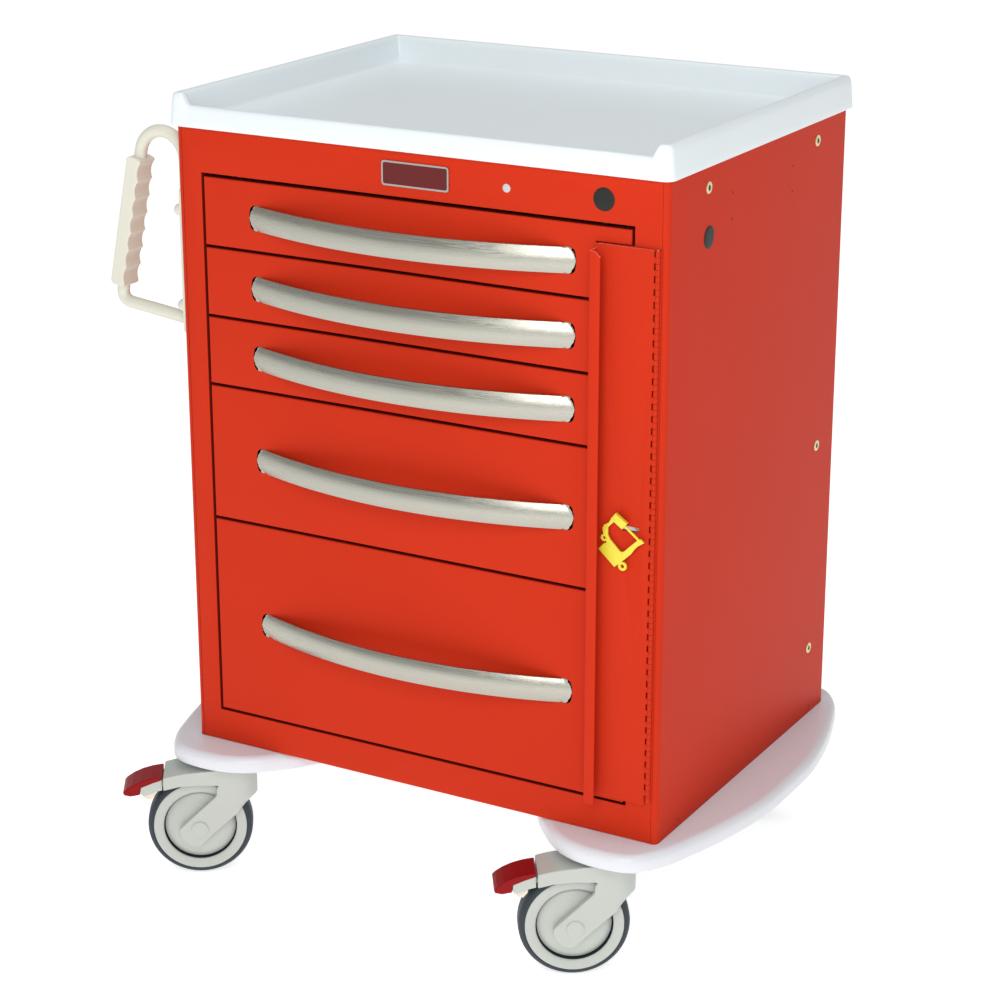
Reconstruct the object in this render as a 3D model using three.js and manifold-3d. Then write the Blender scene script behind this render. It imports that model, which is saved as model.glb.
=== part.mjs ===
// Crash cart: a five-drawer steel cabinet with a moulded tray top, a lock bar on a piano hinge, a push handle
// and a moulded base on four total-lock casters. Millimetres, +Z up, the front faces -Y.
// Every function below works in the cabinet's own frame: Y starts at the front face, Z at the underside, and X runs
// to the right from a line just inside the left panel.
// The finished group is then moved, so that the origin is the middle of the cart's outline on the floor.
import * as THREE from "three";
import { mergeVertices } from "three/addons/utils/BufferGeometryUtils.js";
import Module from "manifold-3d";

const wasm = await Module();
wasm.setup();

// ---------------------------------------------------------------- driving dimensions
const GAP = 0.4; // between pieces that touch on the real cart
const SHEET = 1.5;

const CABINET = { left: -2.5, right: 572.5, depth: 437, height: 694, cornerRadius: 6.5 };
const OPENING = { left: 27.9, right: 536.3, bottom: 36.6, top: 646.8, flange: 14 };

const UNIT = 75.8; // the pitch of one 3 inch drawer
const STACK_TOP = 644.4;
const DRAWER_UNITS = [1, 1, 1, 2, 3]; // from the top down
const DRAWER = { left: 31, right: 494.3, gap: 3.2, panDepth: 12, boxLeft: 44.5, boxRight: 480.8, boxBack: 398 };
const TONGUE = { right: 533, bottom: 627.5 }; // drawer 1's front runs on to the right above the lock bar

const PULL = { left: 88, right: 473, bow: 36, height: 27, thickness: 5, drop: 1.5 };

const RAIL = { back: 396, height: 36 };

const BAR = { left: 497, plateFront: -4.5, sheet: 1.6, flange: 16, lip: 12.5, bottom: 39.6, top: 627 };
const HINGE = { x: 563.3, y: -3.7, radius: 2.3, pin: 1.0, bore: 1.4, knuckle: 25.1, knuckles: 23, bottom: 49 };
const STAPLE = { left: 534.4, right: 546.6, z: 341.3, reach: -13.2, wire: 1.1 };
const SEAL_BACK = -7.7;

const TRAY = {
  left: -8, right: 578, front: -8, back: 445, bottom: 694.4, top: 729, floor: 699, lip: 716.5, cornerRadius: 11,
};

const BASE = { centreX: 277, centreY: 218.5, bottom: -20, thickness: 19.6, plateInset: 9, plateThickness: 4.8 };
// A quarter of the base's outline as distances from its middle: the side bow, the corner lobe and the front recess.
const BASE_QUARTER = [
  [352, 0], [350, 66], [338, 134], [324, 184], [308, 227], [286, 255], [250, 262],
  [214, 257], [188, 243], [152, 206], [136, 184], [116, 166], [60, 160],
];

const CASTER = { yaw: 33, offsetX: 239.2, insetY: 4, trail: 43.7, axleZ: -97 };
const WHEEL = { tyre: 59, rim: 52, halfWidth: 15, groove: 40 };
const FORK = { housing: 21.3, legInner: 17.5, legOuter: 24.5, wheelClearance: 4, axleRadius: 4.7, top: -20.6 };
const PEDAL_PIVOT = { x: -80, z: -43 };
const STEM = { radius: 6, bottom: -45 };

const HANDLE = { y: 24, tube: 6.6, archX: -39.4, archZ: 651.4, archRadius: 29.7, lean: 11.5, plateSheet: 3 };
const GRIP = { top: 650, bottom: 509, outer: 8.6, ridge: 9.8, valley: 8, halfDepth: 13, fingers: 7 };

// ---------------------------------------------------------------- materials
const standard = (color, roughness, metalness = 0) =>
  new THREE.MeshStandardMaterial({ color, roughness, metalness });
const MATERIAL = {
  redPaint: standard(0xd83a26, 0.35),
  tray: standard(0xe6f0f6, 0.35),
  base: standard(0xf2f4f8, 0.4),
  zinc: standard(0xb4b6b8, 0.4, 0.9),
  greyPaint: standard(0xd5d8d8, 0.45),
  aluminium: standard(0xc6c6bd, 0.3, 0.9),
  handle: standard(0xe0e0cf, 0.45),
  casterGrey: standard(0xcdd2cb, 0.4),
  tyre: standard(0x3c4a50, 0.6),
  pedalRed: standard(0xb41419, 0.35),
  steel: standard(0x9a9a98, 0.35, 1),
  sealYellow: standard(0xf5ec5a, 0.4),
  badge: standard(0x6d1f22, 0.35),
};

// ---------------------------------------------------------------- solids
function toSolid(geometry) {
  const bare = new THREE.BufferGeometry();
  const source = geometry.index ? geometry.toNonIndexed() : geometry;
  bare.setAttribute("position", source.getAttribute("position"));
  const merged = mergeVertices(bare, 1e-3);
  return new wasm.Manifold(
    new wasm.Mesh({
      numProp: 3,
      vertProperties: merged.attributes.position.array,
      triVerts: new Uint32Array(merged.index.array),
    }),
  );
}

function toGeometry(solid) {
  const mesh = solid.getMesh();
  const geometry = new THREE.BufferGeometry();
  geometry.setAttribute("position", new THREE.BufferAttribute(mesh.vertProperties, mesh.numProp));
  geometry.setIndex(new THREE.BufferAttribute(mesh.triVerts, 1));
  geometry.computeVertexNormals();
  return geometry;
}

const join = (...solids) => solids.reduce((a, b) => a.add(b));
const cut = (body, ...tools) => tools.reduce((a, b) => a.subtract(b), body);

function named(name, solid, material) {
  const mesh = new THREE.Mesh(toGeometry(solid), material);
  mesh.name = name;
  return mesh;
}

const box = (x0, x1, y0, y1, z0, z1) =>
  toSolid(
    new THREE.BoxGeometry(x1 - x0, y1 - y0, z1 - z0).translate((x0 + x1) / 2, (y0 + y1) / 2, (z0 + z1) / 2),
  );

const shapeOf = (points) => new THREE.Shape(points.map(([x, y]) => new THREE.Vector2(x, y)));
const extruded = (shape, depth, curveSegments = 6) =>
  new THREE.ExtrudeGeometry(shape, { depth, bevelEnabled: false, curveSegments });

// A flat shape carried along one axis: its own two axes are X and Y for prismZ, and X and Z for prismY.
const prismZ = (shape, z0, z1, curveSegments) =>
  toSolid(extruded(shape, z1 - z0, curveSegments).translate(0, 0, z0));
const prismY = (shape, y0, y1, curveSegments) =>
  toSolid(extruded(shape, y1 - y0, curveSegments).rotateX(Math.PI / 2).translate(0, y1, 0));

const rodZ = (radius, x, y, z0, z1, sides = 16) =>
  toSolid(
    new THREE.CylinderGeometry(radius, radius, z1 - z0, sides).rotateX(Math.PI / 2).translate(x, y, (z0 + z1) / 2),
  );
const rodY = (radius, x, z, y0, y1, sides = 16) =>
  toSolid(new THREE.CylinderGeometry(radius, radius, y1 - y0, sides).translate(x, (y0 + y1) / 2, z));

function roundedRectangle(x0, x1, y0, y1, radius) {
  const shape = new THREE.Shape();
  shape.absarc(x1 - radius, y0 + radius, radius, -Math.PI / 2, 0);
  shape.absarc(x1 - radius, y1 - radius, radius, 0, Math.PI / 2);
  shape.absarc(x0 + radius, y1 - radius, radius, Math.PI / 2, Math.PI);
  shape.absarc(x0 + radius, y0 + radius, radius, Math.PI, 1.5 * Math.PI);
  return shape;
}

// A closed solid skinned over level rings, which hold the same number of points and run anticlockwise from above.
function loft(rings) {
  const count = rings[0].points.length;
  const position = rings.flatMap(({ points, z }) => points.flatMap((p) => [p.x, p.y, z]));
  const index = [];
  for (let r = 0; r + 1 < rings.length; r++)
    for (let i = 0; i < count; i++) {
      const a = r * count + i;
      const b = r * count + ((i + 1) % count);
      index.push(a, b, b + count, a, b + count, a + count);
    }
  const last = (rings.length - 1) * count;
  for (const [a, b, c] of THREE.ShapeUtils.triangulateShape(rings[0].points, [])) index.push(a, c, b);
  for (const [a, b, c] of THREE.ShapeUtils.triangulateShape(rings.at(-1).points, []))
    index.push(last + a, last + b, last + c);
  const geometry = new THREE.BufferGeometry();
  geometry.setAttribute("position", new THREE.Float32BufferAttribute(position, 3));
  geometry.setIndex(index);
  return toSolid(geometry);
}

function tubeAlong(points, radius, sides, steps) {
  const circle = new THREE.Shape().absarc(0, 0, radius, 0, 2 * Math.PI);
  const extrudePath = new THREE.CatmullRomCurve3(points);
  return toSolid(new THREE.ExtrudeGeometry(circle, { steps, extrudePath, curveSegments: sides }));
}

// ---------------------------------------------------------------- cabinet
function cabinetShell() {
  const { left, right, depth, height, cornerRadius } = CABINET;
  const outside = roundedRectangle(left, right, 0, depth, cornerRadius);
  const inside = roundedRectangle(left + SHEET, right - SHEET, SHEET, depth - SHEET, cornerRadius - SHEET);
  return cut(
    prismZ(outside, 0, height, 4),
    prismZ(inside, SHEET, height - SHEET, 4),
    box(left + cornerRadius, right - cornerRadius, -1, SHEET + GAP, -1, height + 1),
  );
}

// The front: one sheet with the drawer opening, whose edges are turned inwards, and the fixed stile behind the lock bar.
function faceFrame() {
  const { height, cornerRadius } = CABINET;
  const { left, right, bottom, top, flange } = OPENING;
  const stile = { left: BAR.left + 0.5, right: TONGUE.right + 0.3, bottom: BAR.bottom, top: BAR.top };
  const start = CABINET.left + cornerRadius + GAP;
  const end = CABINET.right - cornerRadius - GAP;
  const face = shapeOf([[start, 0], [end, 0], [end, height], [start, height]]);
  face.holes.push(
    shapeOf([
      [left, bottom], [right, bottom], [right, bottom + 10], [stile.right, bottom + 10],
      [stile.right, stile.bottom], [stile.left, stile.bottom], [stile.left, stile.top],
      [right, stile.top], [right, top], [left, top],
    ]),
  );
  return join(
    prismY(face, 0, SHEET),
    box(left - SHEET, left, 0, flange, bottom - SHEET, top + SHEET),
    box(left - SHEET, right + SHEET, 0, flange, top, top + SHEET),
    box(left - SHEET, right + SHEET, 0, flange, bottom - SHEET, bottom),
    box(right, right + SHEET, 0, flange, stile.top, top + SHEET),
    box(stile.left, stile.left + SHEET, 0, flange, stile.bottom, stile.top),
  );
}

function topTray() {
  const { left, right, front, back, bottom, top, floor, lip, cornerRadius } = TRAY;
  const ring = (inset, z) => ({
    z,
    points: roundedRectangle(
      left + inset,
      right - inset,
      front + inset,
      back - inset,
      Math.max(cornerRadius - inset, 2),
    )
      .getPoints(4)
      .slice(0, -1),
  });
  const body = loft([
    ring(0.8, bottom), ring(0, bottom + 1.5), ring(3, top - 4), ring(4.6, top - 1), ring(7, top),
    ring(11, top), ring(13.6, top - 1.2), ring(14.6, top - 4), ring(17, floor + 4), ring(21, floor),
  ]);
  const slope = 6;
  const post = 21;
  const gate = shapeOf([
    [left + post, lip],
    [right - post, lip],
    [right - post + slope, top + 2],
    [left + post - slope, top + 2],
  ]);
  return cut(body, prismY(gate, front - 2, 20));
}

// ---------------------------------------------------------------- base
function baseOutline(inset) {
  const quarter = BASE_QUARTER.map(([x, y]) => new THREE.Vector2(x, y));
  const mirrored = (sx, sy) => quarter.map((p) => new THREE.Vector2(sx * p.x, sy * p.y));
  const loop = [
    ...mirrored(1, 1),
    ...mirrored(-1, 1).reverse(),
    ...mirrored(-1, -1).slice(1),
    ...mirrored(1, -1).reverse().slice(0, -1),
  ];
  const curve = new THREE.CatmullRomCurve3(loop.map((p) => new THREE.Vector3(p.x, p.y, 0)), true);
  const count = 60;
  const points = [];
  for (let i = 0; i < count; i++) {
    const at = curve.getPointAt(i / count);
    const along = curve.getTangentAt(i / count);
    points.push([BASE.centreX + at.x - inset * along.y, BASE.centreY + at.y + inset * along.x]);
  }
  return shapeOf(points);
}

function baseBumper() {
  const round = 4.5;
  const body = new THREE.ExtrudeGeometry(baseOutline(0), {
    depth: BASE.thickness - 2 * round,
    bevelThickness: round,
    bevelSize: round,
    bevelOffset: -round,
    bevelSegments: 2,
  }).translate(0, 0, BASE.bottom + round);
  const pocketTop = BASE.bottom + BASE.plateThickness + 2 * GAP;
  return cut(toSolid(body), prismZ(baseOutline(BASE.plateInset), BASE.bottom - 1, pocketTop));
}

const casterPlaces = () => {
  const x = (CABINET.left + CABINET.right) / 2;
  return [
    ["front_left", x - CASTER.offsetX, CASTER.insetY],
    ["front_right", x + CASTER.offsetX, CASTER.insetY],
    ["rear_left", x - CASTER.offsetX, CABINET.depth - CASTER.insetY],
    ["rear_right", x + CASTER.offsetX, CABINET.depth - CASTER.insetY],
  ];
};

// The steel plate in the underside of the base, with the four stems that the casters swivel on.
function basePlate() {
  const bottom = BASE.bottom + GAP;
  const plate = prismZ(baseOutline(BASE.plateInset + GAP), bottom, bottom + BASE.plateThickness);
  return join(plate, ...casterPlaces().map(([, x, y]) => rodZ(STEM.radius, x, y, STEM.bottom, bottom + 1, 12)));
}

// ---------------------------------------------------------------- casters, in their own frame
// X runs from the wheel to the swivel stem, Y along the axle, and Z = 0 is the underside of the cabinet.
function casterFork() {
  const { housing, legInner, legOuter, wheelClearance, axleRadius, top } = FORK;
  const { trail, axleZ } = CASTER;
  const leg = new THREE.Shape();
  leg.moveTo(-20, -45);
  leg.lineTo(-24, -59);
  leg.lineTo(-66.5, -97.5);
  leg.quadraticCurveTo(-62, -117, -44, -119.5);
  leg.lineTo(3.3, -75);
  leg.lineTo(17, -57);
  leg.lineTo(19, -45);
  const cover = shapeOf([
    [-14, -27], [-24, -28.8], [-54, -31.6], [-83, -37.5], [-83, -49.5], [-66, -46.8], [-27, -46], [-14, -46],
  ]);
  const body = join(
    rodZ(housing, 0, 0, -66, top, 16),
    prismY(leg, -legOuter, legOuter, 4),
    prismY(cover, -legOuter + 0.6, legOuter - 0.6),
  );
  const wheelSpace = join(
    rodY(WHEEL.tyre + wheelClearance, -trail, axleZ, -legInner, legInner, 24),
    box(-100, -74.5, -legInner, legInner, -60, -38.6),
  );
  return cut(
    body,
    wheelSpace,
    rodY(axleRadius + 0.3, -trail, axleZ, -30, 30, 12),
    rodZ(STEM.radius + GAP, 0, 0, STEM.bottom - 1, top + 1, 12),
    rodY(2.3, PEDAL_PIVOT.x, PEDAL_PIVOT.z, -legInner - 1, legInner + 1, 8),
  );
}

function lathedY(profile, segments) {
  const points = profile.map(([radius, along]) => new THREE.Vector2(radius, along));
  return toSolid(new THREE.LatheGeometry(points, segments)).translate([-CASTER.trail, 0, CASTER.axleZ]);
}

function casterWheel() {
  const { rim, halfWidth, groove } = WHEEL;
  const bore = FORK.axleRadius + 0.3;
  const hub = FORK.legInner - 0.5;
  const half = [
    [bore, hub], [12, hub], [14, halfWidth - 3], [groove, halfWidth - 2], [groove + 2, halfWidth], [rim, halfWidth],
  ];
  const mirror = half.map(([radius, along]) => [radius, -along]);
  return lathedY([...mirror, ...half.reverse(), mirror[0]], 24);
}

function casterTyre() {
  const seat = WHEEL.rim + GAP;
  const half = [[seat, 14.2], [WHEEL.tyre - 2.4, 12.4], [WHEEL.tyre, 6]];
  const mirror = half.map(([radius, along]) => [radius, -along]);
  return lathedY([...mirror, ...half.reverse(), mirror[0]], 24);
}

function casterAxle() {
  const capped = FORK.legOuter + GAP;
  const end = capped + 1.2;
  const place = [-CASTER.trail, CASTER.axleZ];
  return join(
    rodY(FORK.axleRadius, ...place, -end, end, 12),
    rodY(9.6, ...place, -end, -capped, 12),
    rodY(9.6, ...place, capped, end, 12),
  );
}

// The red treadle, its hub on the fork's cross pin and the brake shoe that it presses on the tyre.
function casterPedal() {
  const tread = new THREE.Shape();
  tread.moveTo(-84.5, -37.6);
  tread.lineTo(-108, -44.4);
  tread.quadraticCurveTo(-127, -50.5, -130.5, -57.5);
  tread.lineTo(-122.5, -61);
  tread.lineTo(-108, -54);
  tread.lineTo(-104, -60);
  tread.lineTo(-99, -64.5);
  tread.lineTo(-93, -58.5);
  tread.lineTo(-86, -50.5);
  tread.lineTo(-84.5, -48.5);
  const hub = rodY(4, PEDAL_PIVOT.x, PEDAL_PIVOT.z, -16.6, 16.6, 12);
  const web = box(-88, PEDAL_PIVOT.x, -14, 14, -46.5, -40.5);
  const pin = rodY(2, PEDAL_PIVOT.x, PEDAL_PIVOT.z, -18.3, 18.3, 8);
  return join(prismY(tread, -19, 19, 4), hub, web, pin);
}

function casters() {
  const all = new THREE.Group();
  const pieces = [
    ["fork", casterFork(), MATERIAL.casterGrey],
    ["wheel", casterWheel(), MATERIAL.casterGrey],
    ["tyre", casterTyre(), MATERIAL.tyre],
    ["axle", casterAxle(), MATERIAL.steel],
    ["pedal", casterPedal(), MATERIAL.pedalRed],
  ];
  for (const [place, x, y] of casterPlaces()) {
    const caster = new THREE.Group();
    caster.position.set(x, y, 0);
    caster.rotation.z = THREE.MathUtils.degToRad(CASTER.yaw);
    for (const [piece, solid, material] of pieces)
      caster.add(named(`caster_${place}_${piece}`, solid, material));
    all.add(caster);
  }
  return all;
}

// ---------------------------------------------------------------- drawers
function drawerFront(bottom, top, first) {
  const { left, right, panDepth } = DRAWER;
  const outline = first
    ? shapeOf([
        [left, bottom], [right, bottom], [right, TONGUE.bottom], [TONGUE.right, TONGUE.bottom],
        [TONGUE.right, top], [left, top],
      ])
    : shapeOf([[left, bottom], [right, bottom], [right, top], [left, top]]);
  return cut(
    prismY(outline, 0, panDepth),
    box(left + SHEET, right - SHEET, SHEET, panDepth + 1, bottom + SHEET, top - SHEET),
  );
}

// The box is folded sheet, and carries the slides' drawer members on its two sides.
function drawerBox(bottom, top) {
  const { boxLeft, boxRight, boxBack, panDepth } = DRAWER;
  const front = panDepth + GAP;
  const floor = bottom + 3;
  const rim = top - 7;
  const railZ = railCentre(bottom);
  const member = (side, outward) => {
    const x = (distance) => side - outward * distance;
    const span = (a, b) => [Math.min(x(a), x(b)), Math.max(x(a), x(b))];
    const flange = (z) => box(...span(0, -9.5), front, boxBack, z - 0.75, z + 0.75);
    const web = box(...span(0.2, -1.5), front, boxBack, railZ - 13.5, railZ + 13.5);
    return join(web, flange(railZ - 12.7), flange(railZ + 12.7));
  };
  return join(
    cut(
      box(boxLeft, boxRight, front, boxBack, floor, rim),
      box(boxLeft + SHEET, boxRight - SHEET, front + SHEET, boxBack - SHEET, floor + SHEET, rim + 1),
    ),
    member(boxLeft, -1),
    member(boxRight, 1),
  );
}

const railCentre = (bottom) => bottom + 3 + RAIL.height / 2 + 2;

// A bowed strip of crowned section: its ends lie on the drawer front.
function drawerPull(centreZ) {
  const { left, right, bow, height, thickness } = PULL;
  const span = (right - left) / 2;
  const radius = (span * span + bow * bow) / (2 * bow);
  const centre = new THREE.Vector2((left + right) / 2, radius - bow);
  const reach = Math.asin(span / radius);
  const steps = 12;
  const across = [[-13.5, 0], [-12, 0.55], [-6, 0.93], [6, 0.93], [12, 0.55], [13.5, 0]];
  const back = [[13.5, 0], [0, 0.35], [-13.5, 0]];
  const scale = height / 27;
  const inner = 0.35;
  const section = [
    ...across.map(([z, crown]) => [z * scale, 1.4 + (thickness - 1.4) * crown]),
    ...back.map(([z, crown]) => [z * scale, inner + thickness * crown * 0.4]),
  ];
  const position = [];
  const index = [];
  const count = section.length;
  for (let i = 0; i <= steps; i++) {
    const angle = -reach + (2 * reach * i) / steps;
    for (const [z, out] of section) {
      const r = radius - thickness + out;
      position.push(centre.x + r * Math.sin(angle), centre.y - r * Math.cos(angle), centreZ + z);
    }
  }
  for (let i = 0; i < steps; i++)
    for (let j = 0; j < count; j++) {
      const a = i * count + j;
      const b = i * count + ((j + 1) % count);
      index.push(a, a + count, b, b, a + count, b + count);
    }
  const cap = THREE.ShapeUtils.triangulateShape(
    section.map(([z, out]) => new THREE.Vector2(z, out)),
    [],
  );
  const end = steps * count;
  for (const [a, b, c] of cap) index.push(a, c, b, end + a, end + b, end + c);
  const geometry = new THREE.BufferGeometry();
  geometry.setAttribute("position", new THREE.Float32BufferAttribute(position, 3));
  geometry.setIndex(index);
  const strip = toSolid(geometry);
  return cut(strip, box(left - 20, right + 20, -GAP, 40, centreZ - 40, centreZ + 40));
}

function drawers() {
  const all = new THREE.Group();
  let top = STACK_TOP;
  DRAWER_UNITS.forEach((units, i) => {
    const name = `drawer_${i + 1}`;
    const bottom = top - units * UNIT;
    const panBottom = bottom + DRAWER.gap / 2;
    const panTop = top - DRAWER.gap / 2;
    all.add(named(`${name}_front`, drawerFront(panBottom, panTop, i === 0), MATERIAL.redPaint));
    all.add(named(`${name}_box`, drawerBox(panBottom, panTop), MATERIAL.greyPaint));
    all.add(named(`${name}_pull`, drawerPull((bottom + top) / 2 - PULL.drop), MATERIAL.aluminium));
    for (const side of ["left", "right"])
      all.add(named(`slide_mid_${side}_${i + 1}`, slideMember(side, panBottom, "middle"), MATERIAL.zinc));
    top = bottom;
  });
  return all;
}

// ---------------------------------------------------------------- slides
// Each slide is three nested channels: the cabinet member, the middle member and the drawer member.
function slideMember(side, bottom, kind) {
  const member = {
    cabinet: { web: 16, half: RAIL.height / 2, reach: 5.6 },
    middle: { web: 13.5, half: RAIL.height / 2 - 2, reach: 2.6 },
  }[kind];
  const z = railCentre(bottom);
  const { boxLeft, boxRight, panDepth } = DRAWER;
  const wall = side === "left" ? boxLeft : boxRight;
  const outward = side === "left" ? -1 : 1;
  const span = (a, b) => [wall + outward * a, wall + outward * b].sort((p, q) => p - q);
  const channel = join(
    box(...span(member.web - SHEET, member.web), panDepth + 4, RAIL.back, z - member.half, z + member.half),
    ...[-1, 1].map((up) => {
      const edge = z + up * (member.half - SHEET / 2);
      const [z0, z1] = [edge - SHEET / 2, edge + SHEET / 2];
      return box(...span(member.reach, member.web), panDepth + 4, RAIL.back, z0, z1);
    }),
  );
  return channel;
}

// The five cabinet members of one side, on the two uprights that carry them.
function slideRails(side) {
  const members = [];
  let top = STACK_TOP;
  for (const units of DRAWER_UNITS) {
    top -= units * UNIT;
    members.push(slideMember(side, top + DRAWER.gap / 2, "cabinet"));
  }
  const { boxLeft, boxRight } = DRAWER;
  const web = 16;
  const [x0, x1] =
    side === "left"
      ? [CABINET.left + SHEET + GAP, boxLeft - web + 0.2]
      : [boxRight + web - 0.2, CABINET.right - SHEET - GAP];
  const uprights = [60, 350].map((y) =>
    join(
      box(x0, x1, y, y + SHEET, 20, 660),
      side === "left" ? box(x0, x0 + SHEET, y, y + 20, 20, 660) : box(x1 - SHEET, x1, y, y + 20, 20, 660),
    ),
  );
  return join(...members, ...uprights);
}

// ---------------------------------------------------------------- lock bar
// Leaf knuckles are even and bar knuckles odd, counted from the bottom. Each piece is cut away at the other's knuckles.
function otherKnuckles(first, x0, x1) {
  const { knuckle, knuckles, bottom, y, radius } = HINGE;
  const cuts = [];
  for (let i = first; i < knuckles; i += 2) {
    const z = bottom + i * knuckle;
    cuts.push(box(x0, x1, y - radius - 1, y + radius + 2, z - 0.15, z + knuckle + 0.15));
  }
  return cuts;
}

const hingeBarrel = () => {
  const { x, y, radius, bottom, knuckle, knuckles } = HINGE;
  return rodZ(radius, x, y, bottom + 0.15, bottom + knuckle * knuckles - 0.15, 6);
};
const hingeBore = () => rodZ(HINGE.bore, HINGE.x, HINGE.y, HINGE.bottom - 5, BAR.top + 20, 6);

function lockBar() {
  const { left, plateFront, sheet, flange, lip, bottom, top } = BAR;
  const back = plateFront + sheet;
  const front = plateFront - flange + sheet;
  const bent = shapeOf([
    [left, front - sheet], [left + lip, front - sheet], [left + lip, front], [left + sheet, front],
    [left + sheet, plateFront], [HINGE.x, plateFront], [HINGE.x, back], [left, back],
  ]);
  const end = left + lip + 1;
  const lipCorner = prismY(shapeOf([[end - 8, top + 1], [end, top + 1], [end, top - 5]]), front - 3, front + 1);
  const slotShape = roundedRectangle(STAPLE.left - 4, STAPLE.right + 4, STAPLE.z - 2.6, STAPLE.z + 2.6, 2.5);
  const slot = prismY(slotShape, -10, 0, 3);
  const reach = HINGE.radius + 0.5;
  return cut(
    join(prismZ(bent, bottom, top), hingeBarrel()),
    box(left + sheet + 0.5, HINGE.x + 5, front + 1, 0, bottom - 1, bottom + 4.4),
    box(HINGE.x - reach, HINGE.x + 5, -10, 0, bottom - 1, HINGE.bottom),
    lipCorner,
    slot,
    hingeBore(),
    ...otherKnuckles(0, HINGE.x - reach, HINGE.x + reach),
  );
}

function hingeLeaf() {
  const { x, bottom, knuckle, knuckles, radius } = HINGE;
  const strip = box(x, x + 4.6, -2.1, -GAP, bottom + 0.15, bottom + knuckle * knuckles - 0.15);
  return cut(join(strip, hingeBarrel()), hingeBore(), ...otherKnuckles(1, x - radius - 1, x + radius + 0.5));
}

function hingePin() {
  const { x, y, pin, bottom, knuckle, knuckles } = HINGE;
  return rodZ(pin, x, y, bottom - 0.8, bottom + knuckle * knuckles + 0.8, 6);
}

function sealStaple() {
  const { left, right, z, reach, wire } = STAPLE;
  const back = BAR.plateFront + BAR.sheet + GAP;
  const path = new THREE.Path();
  path.moveTo(left, back + 0.6);
  path.lineTo(left, reach + 3);
  path.quadraticCurveTo(left, reach, left + 3, reach);
  path.lineTo(right - 3, reach);
  path.quadraticCurveTo(right, reach, right, reach + 3);
  path.lineTo(right, back + 0.6);
  const points = path.getSpacedPoints(14).map((p) => new THREE.Vector3(p.x, p.y, z));
  return join(
    tubeAlong(points, wire, 3, 14),
    box(left - 5, right + 5, back, back + 1.2, z - 4, z + 4),
  );
}

// A plastic padlock seal: the blank tag and shackle in one flat moulding, the catch block and the round rod.
function securitySeal() {
  const thickness = 2.2;
  const front = SEAL_BACK - thickness;
  const moulding = shapeOf([
    [525.5, 357.7], [520.6, 352], [517.7, 346.2], [512.4, 343], [510.6, 339.4], [512.2, 329.3], [515.6, 325],
    [512.1, 323.1], [506.3, 316.5], [524.4, 300.4], [531.8, 306.7], [542.6, 317.1], [545.5, 321.5],
    [549.4, 326], [556.7, 331.1], [552.6, 334.4], [548.5, 331.9], [536.1, 319.8], [533.6, 317.4],
    [530.1, 317.8], [518.9, 328.6], [516.4, 333.3], [516.3, 340.4], [523.6, 348.7], [533.2, 343.6], [537.5, 349],
  ]);
  const block = shapeOf([[525.5, 357.7], [521.8, 350.2], [533.4, 342.4], [538.5, 348.9]]);
  const eyes = [[533.2, 302.5, 4.7, 2.2], [512.4, 329.4, 3.7, 1.6]];
  const rodFrom = new THREE.Vector3(533, SEAL_BACK - 1.3, 346.7);
  const rodTo = new THREE.Vector3(552.6, SEAL_BACK - 1.3, 331.5);
  return cut(
    join(
      prismY(moulding, front, SEAL_BACK),
      prismY(block, SEAL_BACK - 4.4, SEAL_BACK),
      tubeAlong([rodFrom, rodFrom.clone().lerp(rodTo, 0.5), rodTo], 1.3, 4, 2),
      ...eyes.map(([x, z, outer]) => rodY(outer, x, z, front, SEAL_BACK)),
    ),
    ...eyes.map(([x, z, , hole]) => rodY(hole, x, z, front - 1, SEAL_BACK + 1, 10)),
  );
}

// ---------------------------------------------------------------- handle
// The tube's centre line in the plane of the handle: X across, Y up.
function handleLine() {
  const { archX, archZ, archRadius, lean, tube, plateSheet } = HANDLE;
  const tilt = THREE.MathUtils.degToRad(lean);
  const path = new THREE.Path();
  path.moveTo(archX + archRadius, 612);
  path.lineTo(archX + archRadius, archZ);
  path.absarc(archX, archZ, archRadius, 0, Math.PI - tilt);
  path.lineTo(-99, 505);
  path.quadraticCurveTo(-101.8, 491, -88, 489.3);
  path.lineTo(CABINET.left - plateSheet - tube + 6, 479);
  return path;
}

function handleTube() {
  const { y, tube, plateSheet } = HANDLE;
  const points = handleLine().getSpacedPoints(36).map((p) => new THREE.Vector3(p.x, y, p.y));
  const foot = roundedRectangle(-19, 19, 466, 626, 6);
  const plate = toSolid(
    extruded(foot, plateSheet, 3)
      .applyMatrix4(
        new THREE.Matrix4().makeBasis(
          new THREE.Vector3(0, 1, 0),
          new THREE.Vector3(0, 0, 1),
          new THREE.Vector3(1, 0, 0),
        ),
      )
      .translate(CABINET.left - plateSheet - GAP, y, 0),
  );
  return join(tubeAlong(points, tube, 4, 30), plate);
}

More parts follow.
